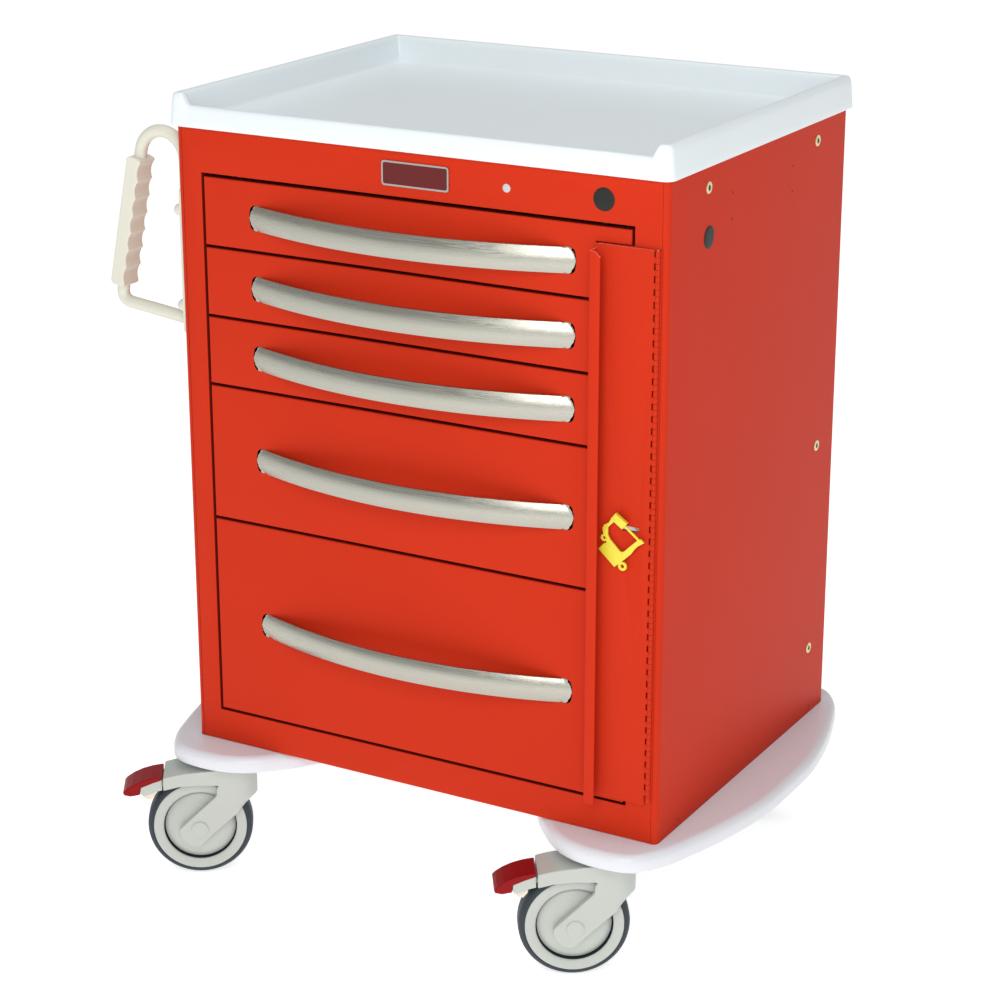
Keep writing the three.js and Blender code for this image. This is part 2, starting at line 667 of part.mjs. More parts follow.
// The grip follows the leaning stretch of the tube. Its inner side has a row of finger scallops.
function handleGrip() {
  const { archX, archZ, archRadius, lean, y, tube } = HANDLE;
  const { top, bottom, outer, ridge, valley, halfDepth, fingers } = GRIP;
  const tilt = THREE.MathUtils.degToRad(lean);
  const start = new THREE.Vector2(archX - archRadius * Math.cos(tilt), archZ + archRadius * Math.sin(tilt));
  const along = new THREE.Vector2(-Math.sin(tilt), -Math.cos(tilt));
  const inward = new THREE.Vector2(Math.cos(tilt), -Math.sin(tilt));
  const place = (s, n) => start.clone().addScaledVector(along, s).addScaledVector(inward, n);
  const from = (start.y - top) / Math.cos(tilt);
  const to = (start.y - bottom) / Math.cos(tilt);
  const shape = new THREE.Shape();
  const go = (s, n) => shape.lineTo(...place(s, n).toArray());
  const curveTo = (s1, n1, s, n) =>
    shape.quadraticCurveTo(...place(s1, n1).toArray(), ...place(s, n).toArray());
  shape.moveTo(...place(from, 4).toArray());
  go(from + 3, ridge);
  const pitch = (to - from - 8) / fingers;
  for (let i = 0; i < fingers; i++) {
    const s = from + 4 + i * pitch;
    curveTo(s + pitch / 2, 2 * valley - ridge, s + pitch, ridge);
  }
  go(to, 4);
  go(to, -4);
  go(to - 4, -outer);
  go(from + 4, -outer);
  go(from, -4);
  const round = 3;
  const body = new THREE.ExtrudeGeometry(shape, {
    depth: 2 * (halfDepth - round),
    bevelThickness: round,
    bevelSize: round - 0.6,
    bevelOffset: 0.6 - round,
    bevelSegments: 2,
    curveSegments: 4,
  })
    .rotateX(Math.PI / 2)
    .translate(0, y + halfDepth - round, 0);
  const ends = [place(from - 10, 0), place((from + to) / 2, 0), place(to + 10, 0)];
  const core = tubeAlong(ends.map((p) => new THREE.Vector3(p.x, y, p.y)), tube + 1.1, 6, 2);
  return cut(toSolid(body), core);
}

function badge() {
  return prismY(roundedRectangle(252, 330, 657.6, 683, 3), -1.6, -GAP, 4);
}

// ---------------------------------------------------------------- the cart
const cart = new THREE.Group();
cart.add(
  named("cabinet_shell", cabinetShell(), MATERIAL.redPaint),
  named("face_frame", faceFrame(), MATERIAL.redPaint),
  named("top_tray", topTray(), MATERIAL.tray),
  named("base_bumper", baseBumper(), MATERIAL.base),
  named("base_plate", basePlate(), MATERIAL.zinc),
  named("slide_rails_left", slideRails("left"), MATERIAL.zinc),
  named("slide_rails_right", slideRails("right"), MATERIAL.zinc),
  drawers(),
  named("lock_bar", lockBar(), MATERIAL.redPaint),
  named("hinge_leaf", hingeLeaf(), MATERIAL.redPaint),
  named("hinge_pin", hingePin(), MATERIAL.steel),
  named("seal_staple", sealStaple(), MATERIAL.steel),
  named("security_seal", securitySeal(), MATERIAL.sealYellow),
  named("handle_tube", handleTube(), MATERIAL.handle),
  named("handle_grip", handleGrip(), MATERIAL.handle),
  named("badge", badge(), MATERIAL.badge),
  casters(),
);

const outline = new THREE.Box3().setFromObject(cart);
const middle = outline.getCenter(new THREE.Vector3());
cart.position.set(-middle.x, -middle.y, -outline.min.z);

export default cart;
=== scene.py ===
"""The looks of a five-drawer crash cart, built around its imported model.

Every piece is made in the cabinet's own frame, in millimetres. Y starts at the front face and runs to the
back, Z starts at the underside, and X runs to the right from a line just inside the left panel. make()
carries it to the frame's metres.
"""

import math

import bmesh
import bpy
from mathutils import Matrix, Vector


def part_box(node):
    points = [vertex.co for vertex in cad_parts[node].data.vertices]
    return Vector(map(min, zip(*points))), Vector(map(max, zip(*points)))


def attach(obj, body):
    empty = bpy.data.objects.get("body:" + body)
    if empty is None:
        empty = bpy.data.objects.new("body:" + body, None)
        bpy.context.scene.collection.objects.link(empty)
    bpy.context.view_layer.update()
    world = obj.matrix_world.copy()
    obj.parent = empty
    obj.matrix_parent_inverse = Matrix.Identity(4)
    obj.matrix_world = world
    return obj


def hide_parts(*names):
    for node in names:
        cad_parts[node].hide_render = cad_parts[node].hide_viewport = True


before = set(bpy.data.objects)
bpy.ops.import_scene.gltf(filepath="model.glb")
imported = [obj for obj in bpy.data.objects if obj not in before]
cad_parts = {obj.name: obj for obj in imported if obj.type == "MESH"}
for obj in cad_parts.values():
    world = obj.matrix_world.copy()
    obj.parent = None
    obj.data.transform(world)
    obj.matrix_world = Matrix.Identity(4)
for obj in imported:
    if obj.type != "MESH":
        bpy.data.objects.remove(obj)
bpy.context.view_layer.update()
MM = 0.001
LEFT = -2.5  # the left panel's outer face
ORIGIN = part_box("cabinet_shell")[0] - Vector((LEFT * MM, 0, 0))

# ---------------------------------------------------------------- driving dimensions
RIGHT, DEPTH, HEIGHT = [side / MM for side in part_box("cabinet_shell")[1] - ORIGIN]
CORNER = 6.5
SHEET = 1.5
PULL = {"left": 88, "right": 473, "bow": 36, "height": 27, "thickness": 5, "crown": 3, "corner": 6}
DRAWERS = 5
BAR = {"left": 497, "front": -4.5, "sheet": 1.6, "flange": 16, "lip": 12.5, "bottom": 39.6, "top": 627}
HINGE = {"x": 563.3, "y": -3.7, "radius": 2.35, "knuckle": 6.35, "bottom": 49.1, "count": 91}
STAPLE = {"left": 532, "right": 545, "z": 341.3, "reach": -12.6, "wire": 0.85}
TRAY = {
    "left": -8, "right": 578, "front": -8, "back": 445,
    "top": 729, "floor": 699, "lip": 716.5, "corner": 11,
}
BASE = {"x": 277, "y": 218.5, "bottom": -20, "top": -0.4, "inset": 9}
BASE_QUARTER = [
    (352, 0), (350, 66), (338, 134), (324, 184), (308, 227), (286, 255), (250, 262),
    (214, 257), (188, 243), (152, 206), (136, 184), (116, 166), (60, 160),
]
CASTERS = {
    "front_left": (45.8, 4),
    "front_right": (524.2, 4),
    "rear_left": (45.8, 433),
    "rear_right": (524.2, 433),
}
YAW = math.radians(33)
# Places in a caster's own X and Z, from the top of its swivel.
AXLE = (-43.7, -97)
PEDAL_HUB = (-80, -43)
FORK = {"radius": 21.3, "half": 24.1, "inner": 17.6, "wheel_space": 61.5}
# The band of the wheel's groove whose faces get painted shade.
GROOVE_SHADE_BAND = {"inner": 39.2, "outer": 40.9, "depth": 11}
HANDLE = {"y": 24, "tube": 6.9, "x": -38.4, "z": 651.4, "arch": 28.9, "lean": math.radians(11.9)}
GRIP = {"top": 650.5, "bottom": 507, "outer": 8.6, "ridge": 10, "valley": 7, "half": 13.4, "fingers": 7}

# The camera, in the cabinet's frame: where it stands, the way it looks and its focal length.
CAMERA = {"at": (1645.08, -2220.54, 1219.21), "azimuth": 29.52, "elevation": 18.91, "lens": 95.19}


# ---------------------------------------------------------------- materials
def linear(*srgb):
    """An sRGB colour in 0 to 255 as the linear colour that a shader takes."""
    values = [c / 255 for c in srgb]
    return [c / 12.92 if c <= 0.04045 else ((c + 0.055) / 1.055) ** 2.4 for c in values] + [1]


PATCHES = 7  # soft patches of colour to a metre


def material(name, colour, roughness, metallic=0.0, variation=0.06, rough_variation=0.08, grain=400.0,
             bump=0.04, bump_mm=0.05, stretch=(1, 1, 1), specular=0.5, sss=0.0):
    """A surface whose colour, gloss and grain vary: soft patches, and a fine grain that the bump follows."""
    made = bpy.data.materials.new(name)
    made.use_nodes = True
    nodes = made.node_tree.nodes
    links = made.node_tree.links
    shader = nodes["Principled BSDF"]
    shader.inputs["Metallic"].default_value = metallic
    shader.inputs["Specular IOR Level"].default_value = specular
    if sss:
        shader.inputs["Subsurface Weight"].default_value = sss
        shader.inputs["Subsurface Radius"].default_value = (0.6, 0.7, 0.8)
        shader.inputs["Subsurface Scale"].default_value = 0.004
    place = nodes.new("ShaderNodeTexCoord")
    mapping = nodes.new("ShaderNodeMapping")
    mapping.inputs["Scale"].default_value = stretch
    links.new(place.outputs["Object"], mapping.inputs["Vector"])

    def noise(scale, detail, source):
        node = nodes.new("ShaderNodeTexNoise")
        node.inputs["Scale"].default_value = scale
        node.inputs["Detail"].default_value = detail
        links.new(source, node.inputs["Vector"])
        return node.outputs["Fac"]

    broad = noise(PATCHES, 3, place.outputs["Object"])
    fine = noise(grain, 2, mapping.outputs["Vector"])

    shade = nodes.new("ShaderNodeMix")
    shade.data_type = "RGBA"
    low = [c * (1 - variation) for c in colour[:3]] + [1]
    high = [min(1, c * (1 + variation)) for c in colour[:3]] + [1]
    shade.inputs["A"].default_value = low
    shade.inputs["B"].default_value = high
    links.new(broad, shade.inputs["Factor"])
    links.new(shade.outputs["Result"], shader.inputs["Base Color"])

    gloss = nodes.new("ShaderNodeMapRange")
    gloss.inputs["From Min"].default_value = 0.3
    gloss.inputs["From Max"].default_value = 0.7
    gloss.inputs["To Min"].default_value = max(0, roughness - rough_variation)
    gloss.inputs["To Max"].default_value = roughness + rough_variation
    links.new(fine, gloss.inputs["Value"])
    links.new(gloss.outputs["Result"], shader.inputs["Roughness"])

    relief = nodes.new("ShaderNodeBump")
    relief.inputs["Strength"].default_value = bump
    relief.inputs["Distance"].default_value = bump_mm * MM
    links.new(fine, relief.inputs["Height"])
    links.new(relief.outputs["Normal"], shader.inputs["Normal"])
    return made


RED = material("red powder coat", linear(196, 49, 24), 0.42, grain=900, bump=0.22, bump_mm=0.06,
               variation=0.04, specular=0.05)
# Painted shade: a darker red for the faces behind the front sheets, standing in for the shade in the gaps.
GAP_SHADE_RED = material("red painted gap shade", linear(112, 24, 13), 0.7, grain=700, specular=0.1)
# Painted highlight: a paler red for the upward faces at the lock bar's top, standing in for light falling on
# them.
UPWARD_HIGHLIGHT_RED = material("red painted top highlight", linear(232, 128, 110), 0.5, grain=2400, variation=0.2)
TRAY_WHITE = material("bluish white moulding", linear(226, 234, 237), 0.34, grain=1400, bump=0.15,
                      variation=0.02)
BASE_WHITE = material("white base moulding", linear(219, 221, 226), 0.3, grain=1400, bump=0.15,
                      variation=0.02)
GREY_PAINT = material("light grey paint", linear(196, 198, 198), 0.42, grain=900, bump=0.2)
ZINC = material("zinc plated steel", linear(186, 188, 192), 0.34, metallic=1, grain=160, variation=0.12,
                rough_variation=0.12, bump=0.06)
BRUSHED = material("brushed aluminium", linear(176, 175, 164), 0.31, metallic=1, grain=260, variation=0.05,
                   rough_variation=0.12, bump=0.5, bump_mm=0.05, stretch=(0.04, 1, 6))
IVORY = material("ivory handle paint", linear(214, 213, 198), 0.4, grain=800, bump=0.25, variation=0.03)
CASTER_GREY = material("grey caster moulding", linear(186, 191, 184), 0.4, grain=1500, bump=0.2,
                       variation=0.03)
RUBBER = material("tyre rubber", linear(46, 56, 63), 0.55, grain=600, bump=0.3, variation=0.12,
                  rough_variation=0.1, specular=0.35)
# Painted shade: a near-black for the faces of the wheel's groove.
PAINTED_GROOVE_SHADE = material("painted groove shade", linear(26, 36, 46), 0.7, grain=600)
# Red moulding, darkened all over as painted shade: it stands in for the shadow that the base casts on the
# pedal's top.
SHADED_PEDAL_RED = material("red moulding with painted shade", linear(140, 10, 16), 0.36, grain=1400, bump=0.35, bump_mm=0.08,
                     specular=0.15)
SHOE_WHITE = material("brake shoe", linear(226, 220, 204), 0.5, grain=900)
STEEL = material("bright steel", linear(176, 176, 172), 0.28, metallic=1, grain=220, variation=0.08)
RIVET_GOLD = material("yellow zinc insert", linear(216, 206, 160), 0.34, metallic=0.8, grain=300,
                      variation=0.1)
YELLOW = material("yellow seal moulding", linear(226, 212, 60), 0.38, grain=900, bump=0.15, variation=0.04,
                  sss=0.2)
MAROON = material("maroon badge field", linear(96, 20, 20), 0.38, grain=160, bump=0.02, variation=0.08,
                  specular=0.3)
# The real black of the plugs, and also painted shade: the bores of the threaded inserts are filled with discs
# of this black.
BLACK_AND_BORE_SHADE = material("black plug and painted bore shade", linear(30, 30, 26), 0.5, grain=900, specular=0.3)
DOT_WHITE = material("white cap", linear(190, 190, 192), 0.4, grain=900)
# Painted shade: the dark colour of the small side holes, which are drawn as discs on the panel.
HOLE_SHADE = material("painted hole shade", linear(60, 14, 8), 0.8, grain=500)


# ---------------------------------------------------------------- meshes
def make(name, mesh, look, body, replaces=(), smooth=30, place=None):
    """Carries a bmesh in cabinet millimetres to the frame, and rides it on a body."""
    bmesh.ops.recalc_face_normals(mesh, faces=mesh.faces)
    if place is not None:
        mesh.transform(place)
    mesh.transform(Matrix.Translation(ORIGIN) @ Matrix.Scale(MM, 4))
    data = bpy.data.meshes.new(name)
    mesh.to_mesh(data)
    mesh.free()
    for one in look if isinstance(look, (list, tuple)) else [look]:
        data.materials.append(one)
    data.shade_smooth()
    data.set_sharp_from_angle(angle=math.radians(smooth))
    piece = bpy.data.objects.new(name, data)
    bpy.context.scene.collection.objects.link(piece)
    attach(piece, body)
    if replaces:
        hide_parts(*replaces)
    return piece


def loft(rings, closed=True, caps=True, into=None):
    """A skin over rings of points. Each ring has the same number of points."""
    mesh = into or bmesh.new()
    rows = [[mesh.verts.new(p) for p in ring] for ring in rings]
    count = len(rings[0])
    spans = count if closed else count - 1
    for low, high in zip(rows, rows[1:]):
        for i in range(spans):
            j = (i + 1) % count
            mesh.faces.new((low[i], low[j], high[j], high[i]))
    if caps:
        mesh.faces.new(rows[0][::-1])
        mesh.faces.new(rows[-1])
    return mesh


def lathe(profile, segments=48, into=None, centre=(0, 0), closed=False):
    """A body turned about Z. The profile holds (radius, height) points, and ends on the axis or closes."""
    mesh = into or bmesh.new()
    rows = []
    for radius, height in profile:
        if radius == 0:
            rows.append([mesh.verts.new((centre[0], centre[1], height))])
            continue
        turn = [2 * math.pi * k / segments for k in range(segments)]
        rows.append([
            mesh.verts.new((centre[0] + radius * math.cos(a), centre[1] + radius * math.sin(a), height))
            for a in turn
        ])
    pairs = list(zip(rows, rows[1:]))
    if closed:
        pairs.append((rows[-1], rows[0]))
    for low, high in pairs:
        for k in range(segments):
            j = (k + 1) % segments
            corners = [low[k % len(low)], low[j % len(low)], high[j % len(high)], high[k % len(high)]]
            unique = list(dict.fromkeys(corners))
            if len(unique) > 2:
                mesh.faces.new(unique)
    return mesh


def prism(outline, low, high, axis="z", into=None):
    """An outline carried along one axis. Its points are (x, y), (x, z) or (y, z)."""
    def at(point, value):
        u, v = point
        return {"z": (u, v, value), "y": (u, value, v), "x": (value, u, v)}[axis]

    return loft([[at(p, low) for p in outline], [at(p, high) for p in outline]], into=into)


def slab(x0, x1, y0, y1, z0, z1, into=None):
    return prism([(x0, y0), (x1, y0), (x1, y1), (x0, y1)], z0, z1, into=into)


def arc(cx, cy, radius, start, end, steps):
    """Points on an arc, with angles in degrees."""
    turn = [math.radians(start + (end - start) * k / steps) for k in range(steps + 1)]
    return [(cx + radius * math.cos(a), cy + radius * math.sin(a)) for a in turn]


def rounded(x0, x1, y0, y1, radius, steps=8):
    return (
        arc(x1 - radius, y0 + radius, radius, -90, 0, steps)
        + arc(x1 - radius, y1 - radius, radius, 0, 90, steps)
        + arc(x0 + radius, y1 - radius, radius, 90, 180, steps)
        + arc(x0 + radius, y0 + radius, radius, 180, 270, steps)
    )


def sweep(points, radius, sides=16, into=None):
    """A round bar along a line of points."""
    points = [Vector(p) for p in points]
    rings = []
    side = Vector((0, 1, 0))
    for k, point in enumerate(points):
        ahead = points[min(k + 1, len(points) - 1)]
        behind = points[max(k - 1, 0)]
        along = (ahead - behind).normalized()
        side = (side - along * side.dot(along)).normalized()
        up = along.cross(side)
        turn = [2 * math.pi * s / sides for s in range(sides)]
        rings.append([point + radius * (math.cos(a) * side + math.sin(a) * up) for a in turn])
    return loft(rings, into=into)


def soften(mesh, edges, width, segments=3):
    """Rounds the chosen edges."""
    if edges:
        bmesh.ops.bevel(mesh, geom=edges, offset=width, offset_type="OFFSET", segments=segments, profile=0.5,
                        affect="EDGES", clamp_overlap=True)
    return mesh


def sharp_edges(mesh, angle=30, test=lambda edge: True):
    limit = math.radians(angle)
    return [e for e in mesh.edges if len(e.link_faces) == 2 and e.calc_face_angle(0) > limit and test(e)]


def cad_copy(node):
    """A CAD node's shape as a bmesh in cabinet millimetres, its flat faces whole again."""
    mesh = bmesh.new()
    mesh.from_mesh(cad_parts[node].data)
    mesh.transform(Matrix.Scale(1 / MM, 4) @ Matrix.Translation(-ORIGIN))
    bmesh.ops.remove_doubles(mesh, verts=mesh.verts, dist=0.002)
    bmesh.ops.dissolve_limit(mesh, angle_limit=math.radians(0.6), verts=mesh.verts, edges=mesh.edges)
    return mesh


def melted(mesh, voxel=0.8, rounds=6, faces=24000):
    """One smooth moulding from overlapping solids: remeshed, smoothed and thinned."""
    data = bpy.data.meshes.new("melt")
    bmesh.ops.recalc_face_normals(mesh, faces=mesh.faces)
    mesh.to_mesh(data)
    mesh.free()
    blob = bpy.data.objects.new("melt", data)
    bpy.context.scene.collection.objects.link(blob)
    remesh = blob.modifiers.new("remesh", "REMESH")
    remesh.mode = "VOXEL"
    remesh.voxel_size = voxel
    smooth = blob.modifiers.new("smooth", "SMOOTH")
    smooth.factor = 0.5
    smooth.iterations = rounds
    shown = blob.evaluated_get(bpy.context.evaluated_depsgraph_get())
    count = len(shown.data.polygons) * 2
    if count > faces:
        thin = blob.modifiers.new("thin", "DECIMATE")
        thin.ratio = faces / count
        shown = blob.evaluated_get(bpy.context.evaluated_depsgraph_get())
    result = bmesh.new()
    result.from_mesh(shown.data)
    bpy.data.objects.remove(blob)
    bpy.data.meshes.remove(data)
    return result


def carve(mesh, tool):
    """The mesh with the tool cut out of it."""
    objects = []
    for source in (mesh, tool):
        bmesh.ops.recalc_face_normals(source, faces=source.faces)
        data = bpy.data.meshes.new("carve")
        source.to_mesh(data)
        source.free()
        one = bpy.data.objects.new("carve", data)
        bpy.context.scene.collection.objects.link(one)
        objects.append(one)
    body, cutter = objects
    cut = body.modifiers.new("cut", "BOOLEAN")
    cut.operation = "DIFFERENCE"
    cut.object = cutter
    cut.solver = "EXACT"
    shown = body.evaluated_get(bpy.context.evaluated_depsgraph_get())
    result = bmesh.new()
    result.from_mesh(shown.data)
    for one in objects:
        data = one.data
        bpy.data.objects.remove(one)
        bpy.data.meshes.remove(data)
    return result


# ---------------------------------------------------------------- cabinet
def cabinet_shell():
    """The folded wrap with its two front returns, and the top and bottom plates."""
    inner = CORNER - SHEET
    x0, x1 = LEFT + CORNER, RIGHT - CORNER
    y0, y1 = CORNER, DEPTH - CORNER
    outside = (
        arc(x0, y0, CORNER, 270, 180, 10)
        + arc(x0, y1, CORNER, 180, 90, 10)
        + arc(x1, y1, CORNER, 90, 0, 10)
        + arc(x1, y0, CORNER, 0, -90, 10)
    )
    inside = (
        arc(x1, y0, inner, -90, 0, 10)
        + arc(x1, y1, inner, 0, 90, 10)
        + arc(x0, y1, inner, 90, 180, 10)
        + arc(x0, y0, inner, 180, 270, 10)
    )
    mesh = prism(outside + inside, 0, HEIGHT)
    soften(mesh, sharp_edges(mesh), 0.45, 2)
    for low in (0.3, HEIGHT - SHEET - 0.3):
        slab(LEFT + SHEET - 0.2, RIGHT - SHEET + 0.2, 1.9, DEPTH - SHEET + 0.2, low, low + SHEET, into=mesh)
    make("cabinet_wrap", mesh, RED, "cabinet", ["cabinet_shell"])


def paint_gap_shade(mesh):
    """The faces behind the front sheet take the mesh's second material, a darker red that is painted shade,
    so the gaps around the fronts read dark.
    """
    behind_sheet = 2.2
    for face in mesh.faces:
        if face.calc_center_median().y > behind_sheet:
            face.material_index = 1


def face_frame():
    mesh = cad_copy("face_frame")
    soften(mesh, sharp_edges(mesh), 0.6, 3)
    # The faces behind the front sheet take the painted gap shade.
    paint_gap_shade(mesh)
    make("front_frame", mesh, [RED, GAP_SHADE_RED], "cabinet", ["face_frame"])


def tray():
    """The tray's wall profile is carried round its outline; the rim dips to the lip along the front."""
    t = TRAY
    x0, x1, y0, y1 = t["left"], t["right"], t["front"], t["back"]
    corner = t["corner"]

    def side(start, end, parts):
        return [(start[0] + (end[0] - start[0]) * k / parts, start[1] + (end[1] - start[1]) * k / parts)
                for k in range(1, parts)]

    post, slope = 15, 10
    ramp = [x0 + post + slope * k / 8 for k in range(9)]
    front = [(x, y0) for x in ramp] + side((ramp[-1], y0), (x1 - post - slope, y0), 12)
    front += [(x0 + x1 - x, y0) for x in reversed(ramp)]
    outline = (
        [(p, (0, -1)) for p in front]
        + [(p, None) for p in arc(x1 - corner, y0 + corner, corner, -90, 0, 8)]
        + [(p, (1, 0)) for p in side((x1, y0 + corner), (x1, y1 - corner), 8)]
        + [(p, None) for p in arc(x1 - corner, y1 - corner, corner, 0, 90, 8)]
        + [(p, (0, 1)) for p in side((x1 - corner, y1), (x0 + corner, y1), 8)]
        + [(p, None) for p in arc(x0 + corner, y1 - corner, corner, 90, 180, 8)]
        + [(p, (-1, 0)) for p in side((x0, y1 - corner), (x0, y0 + corner), 8)]
        + [(p, None) for p in arc(x0 + corner, y0 + corner, corner, 180, 270, 8)]
    )

    def normal(point, known):
        if known:
            return known
        cx = min(max(point[0], x0 + corner), x1 - corner)
        cy = min(max(point[1], y0 + corner), y1 - corner)
        length = math.hypot(point[0] - cx, point[1] - cy)
        return ((point[0] - cx) / length, (point[1] - cy) / length)

    def rim(point):
        """The rim's height over one point of the outline."""
        if point[1] > y0 + 0.01:
            return t["top"]
        near = min(point[0] - x0, x1 - point[0])
        share = min(max((near - post) / slope, 0), 1)
        share = share * share * (3 - 2 * share)
        return t["top"] + (t["lip"] - t["top"]) * share

    # (inset, height over the floor, or drop below the rim)
    wall = [
        (1.4, "floor", -4.6), (0.4, "floor", -4.2), (0, "floor", -3.2), (0.4, "floor", 2), (2.2, "rim", 8),
        (2.9, "rim", 4.5), (3.8, "rim", 2.2), (5.2, "rim", 0.7), (7.2, "rim", 0), (10.4, "rim", 0),
        (12.4, "rim", 0.7), (13.8, "rim", 2.2), (14.6, "rim", 4.6), (15.4, "rim", 8), (17.2, "floor", 4),
        (18.2, "floor", 2), (20, "floor", 0.7), (23, "floor", 0.1), (30, "floor", 0),
    ]
    rings = []
    for inset, base, amount in wall:
        ring = []
        for point, known in outline:
            n = normal(point, known)
            height = t["floor"] + amount if base == "floor" else rim(point) - amount
            if not known and inset > corner - 1.5:
                # Past the corner's centre the inner outline keeps a small radius of its own.
                cx = min(max(point[0], x0 + inset + 2), x1 - inset - 2)
                cy = min(max(point[1], y0 + inset + 2), y1 - inset - 2)
                ring.append((cx + 2 * n[0], cy + 2 * n[1], height))
                continue
            ring.append((point[0] - inset * n[0], point[1] - inset * n[1], height))
        rings.append(ring)
    make("tray_moulding", loft(rings), TRAY_WHITE, "cabinet", ["top_tray"], smooth=50)


def small_fittings():
    """Plugs, threaded inserts, small holes and screws on the cabinet; the holes and the inserts' bores are
    dark discs of painted shade.
    """
    front = Matrix.Rotation(math.radians(90), 4, "X")
    right = Matrix.Rotation(math.radians(90), 4, "Y")

    def fit(name, profile, look, at, turn, segments=32, closed=False):
        mesh = lathe(profile, segments, closed=closed)
        make(name, mesh, look, "cabinet", place=Matrix.Translation(at) @ turn)

    cap = [(0, 1.1), (6, 1.05), (9.8, 0.9), (11.3, 0.5), (11.7, 0), (11.7, -0.6), (0, -0.6)]
    fit("header_plug", cap, BLACK_AND_BORE_SHADE, (502.5, 0, 669.5), front)
    fit("side_plug", cap, BLACK_AND_BORE_SHADE, (RIGHT, 90.1, 622.1), right)
    dot = [(0, 0.8), (3, 0.75), (4.1, 0.4), (4.4, 0), (4.4, -0.5), (0, -0.5)]
    fit("header_dot", dot, DOT_WHITE, (395, 0, 669), front)
    insert = [(2.8, -3), (2.8, 0.7), (3.3, 1.0), (5.8, 0.8), (6.2, 0.3), (6.2, -0.4), (5, -0.4), (5, -3)]
    for k, (y, z) in enumerate([(87.2, 672.1), (356.3, 672.2), (386.4, 325.1), (386.9, 83)]):
        fit(f"insert_{k + 1}", insert, RIVET_GOLD, (RIGHT, y, z), right, closed=True)
        # The bore is a black disc inside the insert: painted shade for the hole.
        bore = [(0, 0.15), (2.7, 0.15), (2.7, -2.5), (0, -2.5)]
        fit(f"insert_bore_{k + 1}", bore, BLACK_AND_BORE_SHADE, (RIGHT, y, z), right, 20)
    # Each small hole is a dark disc on the panel: painted shade for the hole's depth.
    hole = [(0, 0.12), (1.3, 0.12), (1.5, 0), (1.5, -0.5), (0, -0.5)]
    places = [(143.8, 656.6), (143.7, 629.6), (293.2, 656.4), (293, 629.7), (52.2, 7.9), (394, 8.4)]
    for k, (y, z) in enumerate(places):
        fit(f"side_hole_{k + 1}", hole, HOLE_SHADE, (RIGHT, y, z), right, 16)


def badge():
    border = prism(rounded(251.6, 329.9, 657.6, 683.1, 3.4, 6), -1.5, -0.3, axis="y")
    soften(border, sharp_edges(border, test=lambda e: all(v.co.y < -1 for v in e.verts)), 0.5, 3)
    make("badge_border", border, STEEL, "cabinet", ["badge"])
    field = prism(rounded(253.6, 327.9, 659.5, 681.2, 2, 6), -1.75, -1.2, axis="y")
    soften(field, sharp_edges(field, test=lambda e: all(v.co.y < -1.7 for v in e.verts)), 0.2, 2)
    make("badge_field", field, MAROON, "cabinet")


# ---------------------------------------------------------------- base
def base_outline(inset, count=240):
    """The base's outline: a closed Catmull-Rom curve through the mirrored quarter, moved in by the inset."""
    quarter = [Vector(p) for p in BASE_QUARTER]

    def mirrored(sx, sy):
        return [Vector((sx * p.x, sy * p.y)) for p in quarter]

    knots = mirrored(1, 1) + mirrored(-1, 1)[::-1] + mirrored(-1, -1)[1:] + mirrored(1, -1)[::-1][:-1]
    number = len(knots)
    dense = []
    for k in range(number):
        p = [knots[(k + o) % number] for o in (-1, 0, 1, 2)]
        t = [0.0]
        for a, b in zip(p, p[1:]):
            t.append(t[-1] + math.sqrt((b - a).length))
        for s in range(24):
            at = t[1] + (t[2] - t[1]) * s / 24

            def between(i, j, first, second):
                share = (at - t[i]) / (t[j] - t[i])
                return first.lerp(second, share)

            a1, a2, a3 = between(0, 1, p[0], p[1]), between(1, 2, p[1], p[2]), between(2, 3, p[2], p[3])
            b1, b2 = between(0, 2, a1, a2), between(1, 3, a2, a3)
            dense.append(between(1, 2, b1, b2))
    lengths = [0.0]
    for a, b in zip(dense, dense[1:] + dense[:1]):
        lengths.append(lengths[-1] + (b - a).length)
    total = lengths[-1]
    even = []
    k = 0
    for s in range(count):
        want = total * s / count
        while lengths[k + 1] < want:
            k += 1
        share = (want - lengths[k]) / (lengths[k + 1] - lengths[k])
        even.append(dense[k].lerp(dense[(k + 1) % len(dense)], share))
    moved = []
    for s, point in enumerate(even):
        along = (even[(s + 1) % count] - even[s - 1]).normalized()
        outward = Vector((along.y, -along.x))
        spot = point - outward * inset
        moved.append((BASE["x"] + spot.x, BASE["y"] + spot.y))
    return moved


def base():
    low, high = BASE["bottom"], BASE["top"]
    top_round, bottom_round = 9, 4.5
    rows = [(BASE["inset"], low + 6.5), (BASE["inset"], low + 1), (BASE["inset"] - 1, low)]
    for k in range(6):
        a = math.radians(90 * k / 5)
        rows.append((bottom_round * (1 - math.sin(a)), low + bottom_round * (1 - math.cos(a))))
    for k in range(9):
        a = math.radians(90 * k / 8)
        rows.append((top_round * (1 - math.cos(a)), high - top_round * (1 - math.sin(a))))
    rings = [[(x, y, z) for x, y in base_outline(inset)] for inset, z in rows]
    make("base_moulding", loft(rings), BASE_WHITE, "cabinet", ["base_bumper"], smooth=40)
    plate = cad_copy("base_plate")
    make("caster_plate", plate, ZINC, "cabinet", ["base_plate"])


